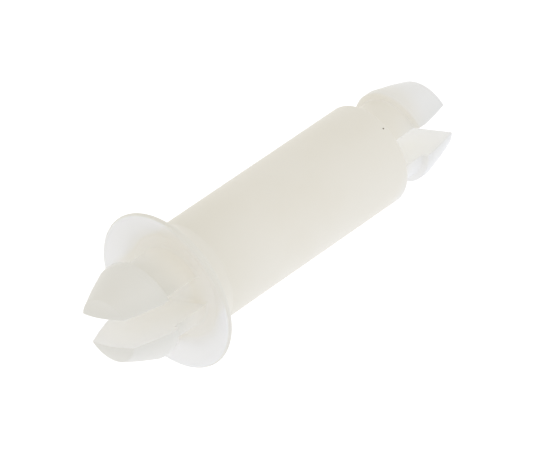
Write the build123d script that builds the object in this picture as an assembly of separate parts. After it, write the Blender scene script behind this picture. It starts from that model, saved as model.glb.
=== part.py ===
from build123d import *
import os
from math import asin, cos, radians, sin

# Snap-in circuit board spacer: a round barrel, a split arrowhead on each end,
# and a dished skirt round the chassis end.
# Millimetres. Z is the barrel's axis and points towards the chassis. The origin
# is the centre of the chassis-side shoulder. X crosses both slots, Y runs along
# them. The real spacer is one nylon moulding; each solid here is one stretch of
# it that moves as a whole, and a small round knuckle stands in for each flexing
# prong root.

# Barrel
barrel_radius = 2.5
barrel_length = 12.7
barrel_edge_round = 0.12

# Both arrowheads, with heights counted from the head's own shoulder
neck_radius = 1.95
slot_half_width = 0.68
hook_rise = 0.04
land_height = 0.4
cone_bulge = 0.03
nose_edge_round = 0.04

# Chassis head, whose nose is a shallow dome inside its rim
chassis_barb_radius = 2.31
chassis_land_top = 2.53
chassis_nose_radius = 1.56
chassis_nose_rim_height = 4.19
chassis_nose_dome = 0.2

# Board head, whose nose is flat
board_barb_radius = 2.27
board_land_top = 2.02
board_nose_radius = 1.78
board_nose_rim_height = 3.83
board_nose_dome = 0.0

# Flexing prong roots
stub_height = 0.3
pivot_height = 0.45
knuckle_radius = 0.45
running_clearance = 0.02
seat_radius = knuckle_radius + running_clearance
seat_reach = neck_radius + running_clearance
pivot_offset = (slot_half_width + neck_radius) / 2

# Skirt: a dished ring, concave towards the chassis, that thins to a round lip.
# Its outside flares like a trumpet; its inside runs down to the shoulder's edge.
skirt_rim_radius = 3.84
skirt_bore_radius = barrel_radius + running_clearance
skirt_root_height = -1.0
skirt_seat_height = -0.06
lip_radius = 0.13
lip_middle_height = 0.47
lip_slope = 29.0
outer_bend_back = 0.85
inner_bend_back = 0.9

# Cutting blocks reach past the widest part
block_size = 12.0


def revolved(outline):
    """A full turn about Z of a closed outline drawn in the X-Z plane."""
    return revolve(make_face(outline), Axis.Z)


def head_blank(barb_radius, land_top, nose_radius, rim_height, dome):
    """An unsplit arrowhead that stands on the plane Z = 0."""
    land_foot = land_top - land_height
    hook_foot = land_foot - hook_rise
    cone_middle_radius = (barb_radius + nose_radius) / 2 + cone_bulge
    cone_middle_height = (land_top + rim_height) / 2
    sides = Polyline(
        (0, 0, rim_height + dome),
        (0, 0, 0),
        (neck_radius, 0, 0),
        (neck_radius, 0, hook_foot),
        (barb_radius, 0, land_foot),
        (barb_radius, 0, land_top),
    )
    cone = ThreePointArc(
        (barb_radius, 0, land_top),
        (cone_middle_radius, 0, cone_middle_height),
        (nose_radius, 0, rim_height),
    )
    nose = nose_outline(nose_radius, rim_height, dome)
    blank = revolved(Wire([*sides.edges(), cone, nose]))
    circles = blank.edges().filter_by(GeomType.CIRCLE)
    nose_rim = circles.sort_by(lambda edge: abs(edge.center().Z - rim_height))[0]
    return fillet(nose_rim, nose_edge_round)


def nose_outline(nose_radius, rim_height, dome):
    """From a nose's rim in to the axis, over its dome or straight across."""
    rim = (nose_radius, 0, rim_height)
    middle = (0, 0, rim_height + dome)
    if dome == 0:
        return Line(rim, middle)
    ball_radius = (nose_radius**2 + dome**2) / (2 * dome)
    ball_middle = rim_height + dome - ball_radius
    half_angle = asin(nose_radius / ball_radius) / 2
    radius = ball_radius * sin(half_angle)
    height = ball_middle + ball_radius * cos(half_angle)
    return ThreePointArc(rim, (radius, 0, height), middle)


def right_half(low, high):
    """The space on the +X side of the slot between two heights."""
    middle = (slot_half_width + block_size / 2, 0, (low + high) / 2)
    return Location(middle) * Box(block_size, block_size, high - low)


def pivot_rod(radius, reach):
    """A rod along Y on the prong's pivot line, cut off at a distance from Z."""
    place = Location((pivot_offset, 0, pivot_height), (90, 0, 0))
    return place * Cylinder(radius, block_size) & Cylinder(reach, block_size)


def right_prong(barb_radius, land_top, nose_radius, rim_height, dome):
    """The +X prong of a head, with its round knuckle at the root."""
    blank = head_blank(barb_radius, land_top, nose_radius, rim_height, dome)
    blade = blank & right_half(pivot_height, rim_height + dome)
    knuckle = pivot_rod(knuckle_radius, neck_radius)
    return blade + knuckle


def neck_post(height):
    """The +X side of the split neck from the shoulder up to a height."""
    post = Location((0, 0, height / 2)) * Cylinder(neck_radius, height)
    return post & right_half(0, height)


def right_stub():
    """The short fixed foot under the +X prong, before its seat is cut."""
    return neck_post(stub_height)


def skirt_ring():
    """The dished ring, slid on the barrel with a running clearance."""
    along = Vector(cos(radians(lip_slope)), 0, sin(radians(lip_slope)))
    upward = Vector(-along.Z, 0, along.X)
    lip_middle = Vector(skirt_rim_radius - lip_radius, 0, lip_middle_height)
    outer_end = lip_middle - upward * lip_radius
    inner_end = lip_middle + upward * lip_radius
    root = Vector(skirt_bore_radius, 0, skirt_root_height)
    seat = Vector(skirt_bore_radius, 0, skirt_seat_height)
    outer = Bezier(root, outer_end - along * outer_bend_back, outer_end)
    lip = ThreePointArc(outer_end, lip_middle + along * lip_radius, inner_end)
    inner = Bezier(inner_end, inner_end - along * inner_bend_back, seat)
    bore = Line(seat, root)
    return revolved(Wire([outer, lip, inner, bore]))


def barrel():
    """The barrel with two stubs on each end and a round seat in each stub."""
    middle = Location((0, 0, -barrel_length / 2))
    body = middle * Cylinder(barrel_radius, barrel_length)
    rims = body.edges().filter_by(GeomType.CIRCLE)
    body = fillet(rims, barrel_edge_round)
    for turn in (0, 180):
        for end in (chassis_end, board_end):
            body += end * turned(right_stub(), turn)
    for turn in (0, 180):
        for end in (chassis_end, board_end):
            body -= end * turned(pivot_rod(seat_radius, seat_reach), turn)
    return body


def turned(solid, angle):
    """A solid turned about Z."""
    return Location((0, 0, 0), (0, 0, angle)) * solid


chassis_end = Location((0, 0, 0))
board_end = Location((0, 0, -barrel_length), (180, 0, 0))

chassis_prong = right_prong(
    chassis_barb_radius,
    chassis_land_top,
    chassis_nose_radius,
    chassis_nose_rim_height,
    chassis_nose_dome,
)
board_prong = right_prong(
    board_barb_radius,
    board_land_top,
    board_nose_radius,
    board_nose_rim_height,
    board_nose_dome,
)

solids = {
    "barrel": barrel(),
    "skirt": skirt_ring(),
    "chassis_prong_right": chassis_end * chassis_prong,
    "chassis_prong_left": chassis_end * turned(chassis_prong, 180),
    "board_prong_right": board_end * board_prong,
    "board_prong_left": board_end * turned(board_prong, 180),
}

os.makedirs("parts", exist_ok=True)
for name, solid in solids.items():
    solid.label = name
    export_step(solid, f"parts/{name}.step")
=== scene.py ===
"""The looks of a snap-in circuit board spacer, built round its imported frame.

Metres. Z is the barrel's axis and points towards the chassis; the origin is the
centre of the chassis-side shoulder. X crosses both slots and Y runs along them.
The spacer is one nylon moulding, so its six meshes meet in hidden overlaps.
"""

from math import atan2, cos, pi, radians, sin, sqrt, tan

import bmesh
import bpy
from mathutils import Matrix, Vector


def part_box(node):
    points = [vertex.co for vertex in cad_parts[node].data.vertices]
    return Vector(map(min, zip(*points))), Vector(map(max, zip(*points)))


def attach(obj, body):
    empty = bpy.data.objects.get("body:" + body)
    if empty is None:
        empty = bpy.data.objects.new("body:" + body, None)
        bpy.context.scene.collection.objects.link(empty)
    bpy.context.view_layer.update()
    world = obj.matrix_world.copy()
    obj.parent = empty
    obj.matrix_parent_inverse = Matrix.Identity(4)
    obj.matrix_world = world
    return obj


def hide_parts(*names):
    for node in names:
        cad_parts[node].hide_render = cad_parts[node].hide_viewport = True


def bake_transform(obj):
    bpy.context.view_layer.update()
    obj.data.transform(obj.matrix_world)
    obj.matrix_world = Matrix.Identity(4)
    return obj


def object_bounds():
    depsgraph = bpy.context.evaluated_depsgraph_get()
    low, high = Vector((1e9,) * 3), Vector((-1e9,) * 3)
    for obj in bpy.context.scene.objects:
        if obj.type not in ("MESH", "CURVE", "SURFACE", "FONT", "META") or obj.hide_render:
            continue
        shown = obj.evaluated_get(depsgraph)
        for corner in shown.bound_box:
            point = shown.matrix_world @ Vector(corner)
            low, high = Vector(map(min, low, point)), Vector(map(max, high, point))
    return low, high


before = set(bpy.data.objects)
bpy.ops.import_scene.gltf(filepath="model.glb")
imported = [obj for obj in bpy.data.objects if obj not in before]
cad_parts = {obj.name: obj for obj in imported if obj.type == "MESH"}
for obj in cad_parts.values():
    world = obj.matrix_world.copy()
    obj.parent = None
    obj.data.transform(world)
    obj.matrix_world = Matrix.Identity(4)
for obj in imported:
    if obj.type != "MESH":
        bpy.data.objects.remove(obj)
cad_low, cad_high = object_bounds()

MM = 0.001

# ------------------------------------------------------------------ sizes
# From the frame
barrel_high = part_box("barrel")[1]
skirt_low, skirt_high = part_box("skirt")
chassis_low, chassis_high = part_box("chassis_prong_right")
board_low, board_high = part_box("board_prong_right")

barrel_radius = barrel_high.x
barrel_length = 12.7 * MM
board_shoulder = -barrel_length
slot_half_width = chassis_low.x

# The rest are the moulding's own proportions
neck_radius = 1.95 * MM
barrel_edge_round = 0.12 * MM
land_height = 0.4 * MM
hook_rise = 0.04 * MM
chassis_land_top = 2.53 * MM
chassis_nose_radius = 1.56 * MM
chassis_nose_dome = 0.2 * MM
board_land_top = 2.02 * MM
board_nose_radius = 1.78 * MM
board_nose_dome = 0.0
cone_bulge = 0.03 * MM
nose_edge_round = 0.04 * MM
barb_edge_round = 0.07 * MM
slot_edge_round = 0.04 * MM
root_flare = 0.16 * MM
root_hem = 0.06 * MM
root_sink = 0.003 * MM
lip_radius = 0.13 * MM
lip_slope = radians(29.0)
outer_bend_back = 0.85 * MM
inner_bend_back = 0.9 * MM
skirt_foot = 0.2 * MM
skirt_sink = 0.01 * MM
shoulder_edge_round = 0.02 * MM
neck_corner_round = 0.06 * MM
cone_round = 1.6 * MM
# The barrel's ends close on a small circle round the axis
end_cap_radius = 0.02 * MM
# How deep the skirt and the prongs reach into the barrel
buried = 0.05 * MM


# ------------------------------------------------------------------ shader helpers
def fill(tree, node, values):
    """Put each value, or the output it comes from, into the node's inputs in order."""
    for socket, value in zip(node.inputs, values):
        if isinstance(value, bpy.types.NodeSocket):
            tree.links.new(value, socket)
        else:
            socket.default_value = value


def math(tree, operation, *values):
    """The result of a Math node."""
    node = tree.nodes.new("ShaderNodeMath")
    node.operation = operation
    fill(tree, node, values)
    return node.outputs[0]


def vector_math(tree, operation, *values, output="Vector"):
    """The result of a Vector Math node: its vector, or its number as "Value"."""
    node = tree.nodes.new("ShaderNodeVectorMath")
    node.operation = operation
    fill(tree, node, values)
    return node.outputs[output]


def ramp(tree, value, low, high, low_result=0.0, high_result=1.0):
    """A smooth rise from low_result to high_result as value goes from low to high."""
    node = tree.nodes.new("ShaderNodeMapRange")
    node.interpolation_type = "SMOOTHSTEP"
    fill(tree, node, (value, low, high, low_result, high_result))
    return node.outputs["Result"]


def noise(tree, place, period, detail):
    """Smooth noise about 0.5, whose largest blotches are about a period across."""
    node = tree.nodes.new("ShaderNodeTexNoise")
    tree.links.new(place, node.inputs["Vector"])
    node.inputs["Scale"].default_value = 1 / period
    node.inputs["Detail"].default_value = detail
    return node.outputs["Fac"]


def mix(tree, share, first, second, blend="MIX"):
    """Two colours mixed, or multiplied together, by a share."""
    node = tree.nodes.new("ShaderNodeMix")
    node.data_type = "RGBA"
    node.blend_type = blend
    for name, value in (("Factor_Float", share), ("A_Color", first), ("B_Color", second)):
        socket = next(s for s in node.inputs if s.identifier == name)
        if isinstance(value, bpy.types.NodeSocket):
            tree.links.new(value, socket)
        else:
            socket.default_value = value
    return next(s for s in node.outputs if s.identifier == "Result_Color")


# ------------------------------------------------------------------ camera
CAMERA_AZIMUTH = radians(27.55)
CAMERA_ELEVATION = radians(34.79)
CAMERA_DISTANCE = 229.8 * MM
CAMERA_LENS = 343.3
CLIP_NEAR = 0.01
CLIP_FAR = 20
# The barrel runs up the view at this slope, with the chassis end at the lower left
AXIS_SLOPE = radians(34.4)
AIM_HEIGHT = -6.048 * MM
AIM_OFFSET = 0.166 * MM


def make_camera():
    """The camera, whose right, up and back directions are returned."""
    back = Vector(
        (
            sin(CAMERA_AZIMUTH) * cos(CAMERA_ELEVATION),
            -cos(CAMERA_AZIMUTH) * cos(CAMERA_ELEVATION),
            sin(CAMERA_ELEVATION),
        )
    )
    # The way the barrel runs across the view, from the chassis end to the board end
    along = -(Vector((0, 0, 1)) - back * back.z).normalized()
    across = (-back).cross(along)
    right = cos(AXIS_SLOPE) * along + sin(AXIS_SLOPE) * across
    up = back.cross(right)
    data = bpy.data.cameras.new("camera")
    data.lens = CAMERA_LENS
    data.clip_start = CLIP_NEAR
    data.clip_end = CLIP_FAR
    camera = bpy.data.objects.new("camera", data)
    bpy.context.scene.collection.objects.link(camera)
    aim = Vector((0, 0, AIM_HEIGHT)) + across * AIM_OFFSET
    turn = Matrix((right, up, back)).transposed().to_4x4()
    camera.matrix_world = Matrix.Translation(aim + back * CAMERA_DISTANCE) @ turn
    bpy.context.scene.camera = camera
    return right, up, back


# ------------------------------------------------------------------ floor and light
FLOOR_SIZE = 3.0
FLOOR_COLOUR = (0.3, 0.3, 0.3, 1)
FLOOR_ROUGHNESS = 0.9
GLOW_COLOUR = (1, 1, 1, 1)
GLOW_STRENGTH = 1.0
LIGHT_FROM_RIGHT = (0.88, 0.9, 0.95)
LIGHT_FROM_LEFT = (0.78, 0.77, 0.75)
LIGHT_FROM_ABOVE = (0.7, 0.7, 0.7)
LIGHT_FROM_BELOW = (0.84, 0.855, 0.92)
LIGHT_FROM_FRONT = (0.82, 0.81, 0.79)
LIGHT_FROM_BEHIND = (1.2, 1.2, 1.2)
# Pale nylon passes light on many times before it is lost
MAX_BOUNCES = 32


def make_floor():
    """A pale floor that glows evenly and casts no light or shade on the spacer."""
    half = FLOOR_SIZE / 2
    mesh = bpy.data.meshes.new("floor")
    corners = [(-half, -half), (half, -half), (half, half), (-half, half)]
    mesh.from_pydata([(x, y, cad_low.z) for x, y in corners], [], [(0, 1, 2, 3)])
    floor = bpy.data.objects.new("floor", mesh)
    bpy.context.scene.collection.objects.link(floor)
    material = bpy.data.materials.new("floor")
    material.use_nodes = True
    shader = material.node_tree.nodes["Principled BSDF"]
    shader.inputs["Base Color"].default_value = FLOOR_COLOUR
    shader.inputs["Roughness"].default_value = FLOOR_ROUGHNESS
    shader.inputs["Emission Color"].default_value = GLOW_COLOUR
    shader.inputs["Emission Strength"].default_value = GLOW_STRENGTH
    mesh.materials.append(material)
    floor.visible_diffuse = False
    floor.visible_glossy = False
    floor.visible_shadow = False


def make_sky(right, up, back):
    """Soft light from six sides, each a broad lobe: together they light evenly."""
    lobes = (
        (right, LIGHT_FROM_RIGHT),
        (-right, LIGHT_FROM_LEFT),
        (up, LIGHT_FROM_ABOVE),
        (-up, LIGHT_FROM_BELOW),
        (back, LIGHT_FROM_FRONT),
        (-back, LIGHT_FROM_BEHIND),
    )
    world = bpy.data.worlds.new("sky")
    bpy.context.scene.world = world
    world.use_nodes = True
    tree = world.node_tree
    way = tree.nodes.new("ShaderNodeTexCoord").outputs["Generated"]
    total = (0, 0, 0)
    for direction, colour in lobes:
        facing = vector_math(tree, "DOT_PRODUCT", way, direction, output="Value")
        clipped = math(tree, "MAXIMUM", facing, 0.0)
        squared = math(tree, "MULTIPLY", clipped, clipped)
        total = vector_math(tree, "MULTIPLY_ADD", squared, colour, total)
    tree.links.new(total, tree.nodes["Background"].inputs["Color"])


# ------------------------------------------------------------------ nylon
THICK_NYLON = (0.957, 0.921, 0.822, 1)
# Painted light: the pale colour that stands for light passing through the nylon
LIGHT_THROUGH_NYLON = (0.992, 0.988, 0.97, 1)
# Painted shade: the darker tint on the chassis head, beside the slots and on the barrel near
# the skirt
PAINTED_SHADE_TINT = (0.9, 0.905, 0.89, 1)
# Painted shade on the skirt's lip
LIP_SHADE_TINT = (0.92, 0.925, 0.91, 1)
CLOUD_TINT = (0.985, 0.98, 0.965, 1)
CLOUD_SIZE = 3.5 * MM
# One dark speck trapped in the barrel's surface
SPECK_COLOUR = (0.12, 0.08, 0.05, 1)
SPECK_PLACE = (1.6 * MM, -1.92 * MM, -12.45 * MM)
SPECK_SIZE = 0.045 * MM
# Painted light through the thin skirt is strongest in two lobes, along this direction from
# the axis
LOBE_DIRECTION = (0.885, 0.466, 0)
LOBE_SHIFT = 0.15 * MM
# The middle of the skirt's wall rises by this much for its way outwards
SKIRT_RISE = 0.6
# How far the painted light (pale) and painted shade (dulled) tints go in each place, from 0
# to 1
CHASSIS_END_LIGHT = 0.55
BOARD_BARB_LIGHT = 0.5
LIP_SHADE_STRENGTH = 0.6
CHASSIS_HEAD_SHADE = 0.6
SLOT_SIDE_SHADE = 0.5
BARREL_SHADE = 0.25
# The surface's fine grain and its shallow dents
GRAIN_SIZE = 0.09 * MM
SMOOTHEST = 0.38
ROUGHEST = 0.5
DENT_SIZE = 0.8 * MM
DENT_DEPTH = 0.006 * MM
DENT_STRENGTH = 0.5
SCATTER_DEPTH = 0.7 * MM
REFRACTION = 1.53
GLOSS = 0.3


class Spot:
    """Where a shaded point lies on the spacer, in outputs that the masks share."""

    def __init__(self, tree, place):
        split = tree.nodes.new("ShaderNodeSeparateXYZ")
        tree.links.new(place, split.inputs[0])
        self.place = place
        self.across = split.outputs["X"]
        self.height = split.outputs["Z"]
        flat = vector_math(tree, "MULTIPLY", place, (1, 1, 0))
        self.radius = vector_math(tree, "LENGTH", flat, output="Value")
        # Height beyond the nearer shoulder
        middle = board_shoulder / 2
        from_middle = math(tree, "ABSOLUTE", math(tree, "SUBTRACT", self.height, middle))
        self.up_head = math(tree, "ADD", from_middle, middle)
        self.from_centre = math(tree, "ABSOLUTE", self.across)
        slot_edge = slot_half_width + slot_edge_round
        self.off_slot = ramp(tree, self.from_centre, slot_half_width, slot_edge)
        self.in_head = ramp(tree, self.radius, barrel_radius - 0.2 * MM, barrel_radius, 1, 0)


def skirt_masks(tree, spot):
    """The skirt's inside, its two side lobes and its lip, the last scaled by the strength of
    the lip's painted shade.
    """
    fall = math(tree, "MULTIPLY_ADD", spot.radius, -SKIRT_RISE, barrel_radius * SKIRT_RISE)
    in_dish = ramp(tree, math(tree, "ADD", spot.height, fall), -0.24 * MM, -0.13 * MM)
    sideways = vector_math(tree, "DOT_PRODUCT", spot.place, LOBE_DIRECTION, output="Value")
    sideways = math(tree, "ABSOLUTE", math(tree, "SUBTRACT", sideways, LOBE_SHIFT))
    in_lobes = ramp(tree, sideways, 1.7 * MM, 2.5 * MM)
    rim = skirt_high.x
    lip = ramp(tree, spot.radius, rim - 0.3 * MM, rim - 0.1 * MM, 0, LIP_SHADE_STRENGTH)
    return in_dish, in_lobes, lip


def slot_mask(tree, spot):
    """The slots' faces, fading out across the shoulders between them."""
    raised = ramp(tree, spot.up_head, 0, 0.15 * MM)
    shoulder = ramp(tree, spot.radius, 0.5 * MM, 2.1 * MM, 1, 0)
    faces = math(tree, "SUBTRACT", math(tree, "MAXIMUM", raised, shoulder), spot.off_slot)
    faces = math(tree, "MULTIPLY", faces, ramp(tree, spot.up_head, -0.05 * MM, 0))
    return math(tree, "MULTIPLY", faces, spot.in_head)


def painted_light_mask(tree, spot, in_dish, in_lobes, lip):
    """Painted light: paleness painted where light gets through the nylon, on the slot faces,
    over the chassis end and towards the board head's nose.
    """
    outside_barrel = barrel_radius + 0.15 * MM
    off_barrel = ramp(tree, spot.radius, barrel_radius - 0.25 * MM, outside_barrel)
    lobes = math(tree, "MULTIPLY", in_dish, math(tree, "MULTIPLY", off_barrel, in_lobes))

    # Painted light, at half strength, over the chassis end, but not outside the skirt
    chassis_end = ramp(tree, spot.height, -0.05 * MM, 0, 0, CHASSIS_END_LIGHT)
    not_outside = math(tree, "MAXIMUM", spot.in_head, math(tree, "MAXIMUM", in_dish, lip))
    chassis_end = math(tree, "MULTIPLY", chassis_end, not_outside)

    # Painted light, paler towards the board head's nose, and sooner on its left prong
    slanted = math(tree, "MULTIPLY_ADD", spot.across, 0.6, spot.height)
    board_cone = ramp(tree, slanted, board_shoulder + 0.2 * MM, board_shoulder - 2 * MM)
    hook = board_shoulder - 1.6 * MM
    board_barb = ramp(tree, spot.height, hook + 0.3 * MM, hook, 0, BOARD_BARB_LIGHT)

    # Painted light on the slot faces and on the skirt's lobes
    pale = math(tree, "MAXIMUM", lobes, slot_mask(tree, spot))
    for mask in (chassis_end, board_cone, board_barb):
        pale = math(tree, "MAXIMUM", pale, mask)
    return pale


def painted_shade_mask(tree, spot, in_dish, lip):
    """Painted shade: darker outside the chassis head, beside both slots, and on the barrel
    towards the skirt.
    """
    slot_side = slot_half_width + 0.8 * MM
    beside_slot = ramp(tree, spot.from_centre, slot_half_width, slot_side, SLOT_SIDE_SHADE, 0)
    chassis_head_side = ramp(tree, spot.height, -MM, 0, 0, CHASSIS_HEAD_SHADE)
    heads = math(tree, "ADD", beside_slot, chassis_head_side)
    heads = math(tree, "MULTIPLY", heads, ramp(tree, spot.up_head, 0.5 * MM, 1.8 * MM))
    heads = math(tree, "MULTIPLY", heads, spot.off_slot)

    near_skirt = ramp(tree, spot.height, -5 * MM, -0.8 * MM, 0, BARREL_SHADE)
    not_barrel = math(tree, "MAXIMUM", in_dish, lip)
    near_skirt = math(tree, "SUBTRACT", near_skirt, not_barrel)
    return math(tree, "MAXIMUM", heads, near_skirt)


def scatter_mask(tree, spot, in_dish, in_lobes):
    """The skirt's thin lobes, clear of where they meet the barrel."""
    wall_start = barrel_radius + 0.15 * MM
    on_wall = ramp(tree, spot.radius, wall_start, wall_start + 0.3 * MM)
    return math(tree, "MULTIPLY", on_wall, math(tree, "MULTIPLY", in_dish, in_lobes))


def tinted(tree, colour, mask, tint):
    """A colour multiplied by a tint where a mask is 1."""
    return mix(tree, mask, colour, mix(tree, 1, colour, tint, "MULTIPLY"))


def make_nylon():
    """Natural nylon: warm where it is thick, with painted light, paler where light gets
    through it, and painted shade on the heads, the lip and the barrel near the skirt.
    """
    material = bpy.data.materials.new("nylon")
    material.use_nodes = True
    tree = material.node_tree
    shader = tree.nodes["Principled BSDF"]
    place = tree.nodes.new("ShaderNodeTexCoord").outputs["Object"]
    spot = Spot(tree, place)
    in_dish, in_lobes, lip = skirt_masks(tree, spot)

    # Painted light: paler where light gets through the nylon, on the slot faces and over the
    # heads
    colour = mix(tree, painted_light_mask(tree, spot, in_dish, in_lobes, lip), THICK_NYLON, LIGHT_THROUGH_NYLON)
    # Painted shade on the heads and on the barrel near the skirt
    colour = tinted(tree, colour, painted_shade_mask(tree, spot, in_dish, lip), PAINTED_SHADE_TINT)
    # Painted shade on the skirt's lip
    colour = tinted(tree, colour, lip, LIP_SHADE_TINT)
    clouds = ramp(tree, noise(tree, place, CLOUD_SIZE, 3), 0.3, 0.7)
    colour = tinted(tree, colour, clouds, CLOUD_TINT)
    from_speck = vector_math(tree, "DISTANCE", place, SPECK_PLACE, output="Value")
    off_speck = ramp(tree, from_speck, SPECK_SIZE * 0.6, SPECK_SIZE)
    colour = mix(tree, off_speck, SPECK_COLOUR, colour)
    tree.links.new(colour, shader.inputs["Base Color"])

    grain = noise(tree, place, GRAIN_SIZE, 2)
    roughness = ramp(tree, grain, 0.3, 0.7, SMOOTHEST, ROUGHEST)
    tree.links.new(roughness, shader.inputs["Roughness"])
    bump = tree.nodes.new("ShaderNodeBump")
    bump.inputs["Strength"].default_value = DENT_STRENGTH
    bump.inputs["Distance"].default_value = DENT_DEPTH
    tree.links.new(noise(tree, place, DENT_SIZE, 4), bump.inputs["Height"])
    tree.links.new(bump.outputs["Normal"], shader.inputs["Normal"])

    scatter = scatter_mask(tree, spot, in_dish, in_lobes)
    tree.links.new(scatter, shader.inputs["Subsurface Weight"])
    shader.inputs["Subsurface Scale"].default_value = SCATTER_DEPTH
    shader.inputs["Subsurface Radius"].default_value = (1, 1, 1)
    shader.inputs["IOR"].default_value = REFRACTION
    shader.inputs["Specular IOR Level"].default_value = GLOSS
    return material


# ------------------------------------------------------------------ meshes
# How many steps each round or straight stretch is drawn in
TURN_STEPS = 256
ARC_STEPS = 96
CHORD_STEPS = 24
EDGE_STEPS = 8
NOSE_EDGE_STEPS = 7
NOSE_CAP_STEPS = 12
SKIRT_OUTSIDE_STEPS = 24
SKIRT_LIP_STEPS = 10
SKIRT_INSIDE_STEPS = 16


def rounded(points, radii, steps=6):
    """An open outline of (radius, height) points with its corners rounded."""
    out = [Vector(points[0])]
    for i in range(1, len(points) - 1):
        corner = Vector(points[i])
        before = (Vector(points[i - 1]) - corner).normalized()
        after = (Vector(points[i + 1]) - corner).normalized()
        half = before.angle(after) / 2
        reach = radii[i] / tan(half)
        centre = corner + (before + after).normalized() * radii[i] / sin(half)
        first = corner + before * reach - centre
        last = corner + after * reach - centre
        angle = first.angle_signed(last)
        for k in range(steps + 1):
            out.append(centre + Matrix.Rotation(-angle * k / steps, 2) @ first)
    out.append(Vector(points[-1]))
    return out


def circle(radius, height):
    """A ring of points round the axis."""
    steps = [2 * pi * i / TURN_STEPS for i in range(TURN_STEPS)]
    return [(radius * cos(a), radius * sin(a), height) for a in steps]


def mesh_from_rings(name, rings, closed=False):
    """A mesh through rings of equally many points, capped unless it closes on itself."""
    count = len(rings[0])
    faces = []
    for r in range(len(rings) if closed else len(rings) - 1):
        here = r * count
        there = (r + 1) % len(rings) * count
        for i in range(count):
            j = (i + 1) % count
            faces.append((here + i, here + j, there + j, there + i))
    if not closed:
        faces.append(tuple(reversed(range(count))))
        faces.append(tuple(range(there, there + count)))
    mesh = bpy.data.meshes.new(name)
    mesh.from_pydata([point for ring in rings for point in ring], [], faces)
    face_outwards(mesh)
    return mesh


def face_outwards(mesh):
    """Turn a closed mesh's faces to the outside."""
    work = bmesh.new()
    work.from_mesh(mesh)
    bmesh.ops.recalc_face_normals(work, faces=work.faces)
    work.to_mesh(mesh)
    work.free()


def new_piece(name, mesh, material):
    """A smooth piece whose broad faces set the shading."""
    mesh.materials.append(material)
    for polygon in mesh.polygons:
        polygon.use_smooth = True
    piece = bpy.data.objects.new(name, mesh)
    bpy.context.scene.collection.objects.link(piece)
    modifier = piece.modifiers.new("even_normals", "WEIGHTED_NORMAL")
    modifier.weight = 80
    modifier.keep_sharp = False
    return piece


def stand_in_for(node):
    """Hide a node of the frame, where a nylon piece stands in its place."""
    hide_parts(node)


# ------------------------------------------------------------------ barrel
def make_barrel(material):
    """The barrel, riding on its own node."""
    points = [
        (end_cap_radius, 0),
        (barrel_radius, 0),
        (barrel_radius, board_shoulder),
        (end_cap_radius, board_shoulder),
    ]
    outline = rounded(points, [0, shoulder_edge_round, barrel_edge_round, 0])
    mesh = mesh_from_rings("barrel_skin", [circle(p.x, p.y) for p in outline])
    piece = new_piece("barrel_skin", mesh, material)
    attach(piece, "barrel")
    stand_in_for("barrel")


# ------------------------------------------------------------------ prongs
class Head:
    """The sizes of one split head, with heights from its own shoulder."""

    def __init__(self, top, barb_radius, land_top, nose_radius, dome):
        self.barb_radius = barb_radius
        self.land_top = land_top
        self.nose_radius = nose_radius
        self.dome = dome
        # The dome is cut off by the slot, a little below its middle
        self.rim_height = top - dome * (1 - (slot_half_width / nose_radius) ** 2)


def half_disc(radius, flat, corner, height):
    """A ring round the part of a disc past X = flat, with rounded corners."""
    middle = flat + corner
    reach = sqrt((radius - corner) ** 2 - middle**2)
    tangent = atan2(reach, middle)
    points = []
    for k in range(ARC_STEPS + 1):
        a = -tangent + 2 * tangent * k / ARC_STEPS
        points.append((radius * cos(a), radius * sin(a)))
    for k in range(1, EDGE_STEPS + 1):
        a = tangent + (pi - tangent) * k / EDGE_STEPS
        points.append((middle + corner * cos(a), reach + corner * sin(a)))
    for k in range(1, CHORD_STEPS):
        points.append((flat, reach - 2 * reach * k / CHORD_STEPS))
    for k in range(EDGE_STEPS):
        a = pi + (pi - tangent) * k / EDGE_STEPS
        points.append((middle + corner * cos(a), -reach + corner * sin(a)))
    return [(x, y, height) for x, y in points]


def prong_outline(head):
    """(radius, height) up the outside of a head, from its shoulder to its nose's rim."""
    land_foot = head.land_top - land_height
    hook_foot = land_foot - hook_rise
    middle_radius = (head.barb_radius + head.nose_radius) / 2 + cone_bulge
    points = [
        (neck_radius, 0),
        (neck_radius, hook_foot),
        (head.barb_radius, land_foot),
        (head.barb_radius, head.land_top),
        (middle_radius, (head.land_top + head.rim_height) / 2),
        (head.nose_radius, head.rim_height),
    ]
    radii = [0, neck_corner_round, barb_edge_round, barb_edge_round, cone_round, 0]
    return rounded(points, radii, EDGE_STEPS)


def domed(ring, head):
    """A ring at a head's nose, lifted on to its shallow dome."""
    lifted = []
    for x, y, z in ring:
        share = (x * x + y * y) / head.nose_radius**2
        lifted.append((x, y, z + head.dome * max(0, 1 - share)))
    return lifted


def nose_rings(head):
    """Rings round the nose's edge and in across its dome."""
    rings = []
    slope = (head.barb_radius - head.nose_radius) / (head.rim_height - head.land_top)
    for k in range(NOSE_EDGE_STEPS + 1):
        a = pi / 2 * k / NOSE_EDGE_STEPS
        inset = nose_edge_round * (1 - cos(a))
        height = head.rim_height - nose_edge_round * (1 - sin(a))
        radius = head.nose_radius + slope * (head.rim_height - height) - inset
        rings.append(half_disc(radius, slot_half_width + inset, slot_edge_round, height))
    edge = rings[-1]
    focus = (slot_half_width + head.nose_radius) / 2
    for k in range(1, NOSE_CAP_STEPS):
        share = 1 - k / NOSE_CAP_STEPS
        rings.append([(focus + (x - focus) * share, y * share, z) for x, y, z in edge])
    return [domed(ring, head) for ring in rings]


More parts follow.
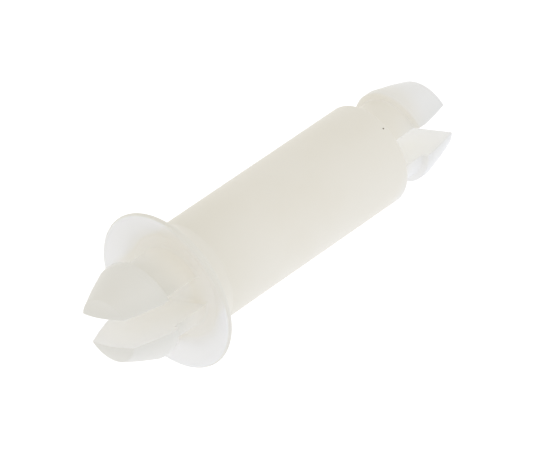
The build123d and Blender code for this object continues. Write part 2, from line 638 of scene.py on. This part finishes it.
def make_prong(end, side, head, place, material):
    """One prong, which place turns from standing on Z = 0 to its end of the barrel."""
    node = f"{end}_prong_{side}"
    # A hem just under the shoulder lets the flare run out level with it
    reach = root_flare + root_hem
    hem = (neck_radius + reach, slot_half_width - reach, slot_edge_round)
    rings = [half_disc(*hem, -buried), half_disc(*hem, -root_sink)]
    for k in range(EDGE_STEPS + 1):
        a = pi / 2 * k / EDGE_STEPS
        swell = root_flare * (1 - sin(a))
        height = root_flare * (1 - cos(a)) - root_sink
        flare = (neck_radius + swell, slot_half_width - swell, slot_edge_round)
        rings.append(half_disc(*flare, height))
    for p in prong_outline(head):
        if root_flare < p.y < head.rim_height - nose_edge_round:
            rings.append(half_disc(p.x, slot_half_width, slot_edge_round, p.y))
    rings += nose_rings(head)
    mesh = mesh_from_rings(f"{node}_skin", rings)
    mesh.transform(place @ Matrix.Rotation(0 if side == "right" else pi, 4, "Z"))
    piece = new_piece(f"{node}_skin", mesh, material)
    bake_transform(piece)
    stand_in_for(node)


# ------------------------------------------------------------------ skirt
def curve_point(ends, u):
    """A point on a cubic curve with two controls."""
    a, b, c, d = ends
    v = 1 - u
    return a * v**3 + b * (3 * u * v * v) + c * (3 * u * u * v) + d * u**3


def skirt_outline():
    """(radius, height) round the skirt's section, from its foot up the outside."""
    along = Vector((cos(lip_slope), sin(lip_slope)))
    upward = Vector((-along.y, along.x))
    lip_middle = Vector((skirt_high.x - lip_radius, skirt_high.z - lip_radius))
    outer_end = lip_middle - upward * lip_radius
    inner_end = lip_middle + upward * lip_radius
    bore = barrel_radius - buried
    root = skirt_low.z
    foot = Vector((barrel_radius - skirt_sink, root - skirt_foot))
    outer_bend = outer_end - along * outer_bend_back
    outside = (foot, Vector((barrel_radius, root + skirt_foot)), outer_bend, outer_end)
    outline = [Vector((bore, foot.y))]
    for k in range(SKIRT_OUTSIDE_STEPS):
        outline.append(curve_point(outside, k / SKIRT_OUTSIDE_STEPS))
    for k in range(SKIRT_LIP_STEPS + 1):
        a = pi * k / SKIRT_LIP_STEPS
        outline.append(lip_middle + (along * sin(a) - upward * cos(a)) * lip_radius)
    seat = Vector((bore, -buried / 4))
    inner_bend = inner_end - along * inner_bend_back
    inside = (inner_end, inner_bend, Vector((barrel_radius + buried, -buried / 8)), seat)
    for k in range(1, SKIRT_INSIDE_STEPS + 1):
        outline.append(curve_point(inside, k / SKIRT_INSIDE_STEPS))
    return outline


def make_skirt(material):
    """The skirt, turned round the barrel's chassis end in place of its node."""
    rings = [circle(p.x, p.y) for p in skirt_outline()]
    mesh = mesh_from_rings("skirt_skin", rings, closed=True)
    piece = new_piece("skirt_skin", mesh, material)
    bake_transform(piece)
    stand_in_for("skirt")


# ------------------------------------------------------------------ build
bpy.context.scene.view_settings.view_transform = "Standard"
bpy.context.scene.cycles.max_bounces = MAX_BOUNCES
bpy.context.scene.cycles.diffuse_bounces = MAX_BOUNCES
right, up, back = make_camera()
make_floor()
make_sky(right, up, back)

nylon = make_nylon()
make_barrel(nylon)
make_skirt(nylon)

chassis_head = Head(
    chassis_high.z,
    chassis_high.x,
    chassis_land_top,
    chassis_nose_radius,
    chassis_nose_dome,
)
board_head = Head(
    board_shoulder - board_low.z,
    board_high.x,
    board_land_top,
    board_nose_radius,
    board_nose_dome,
)
chassis_place = Matrix.Identity(4)
board_place = Matrix.Translation((0, 0, board_shoulder)) @ Matrix.Rotation(pi, 4, "X")
for side in ("right", "left"):
    make_prong("chassis", side, chassis_head, chassis_place, nylon)
for side in ("right", "left"):
    make_prong("board", side, board_head, board_place, nylon)
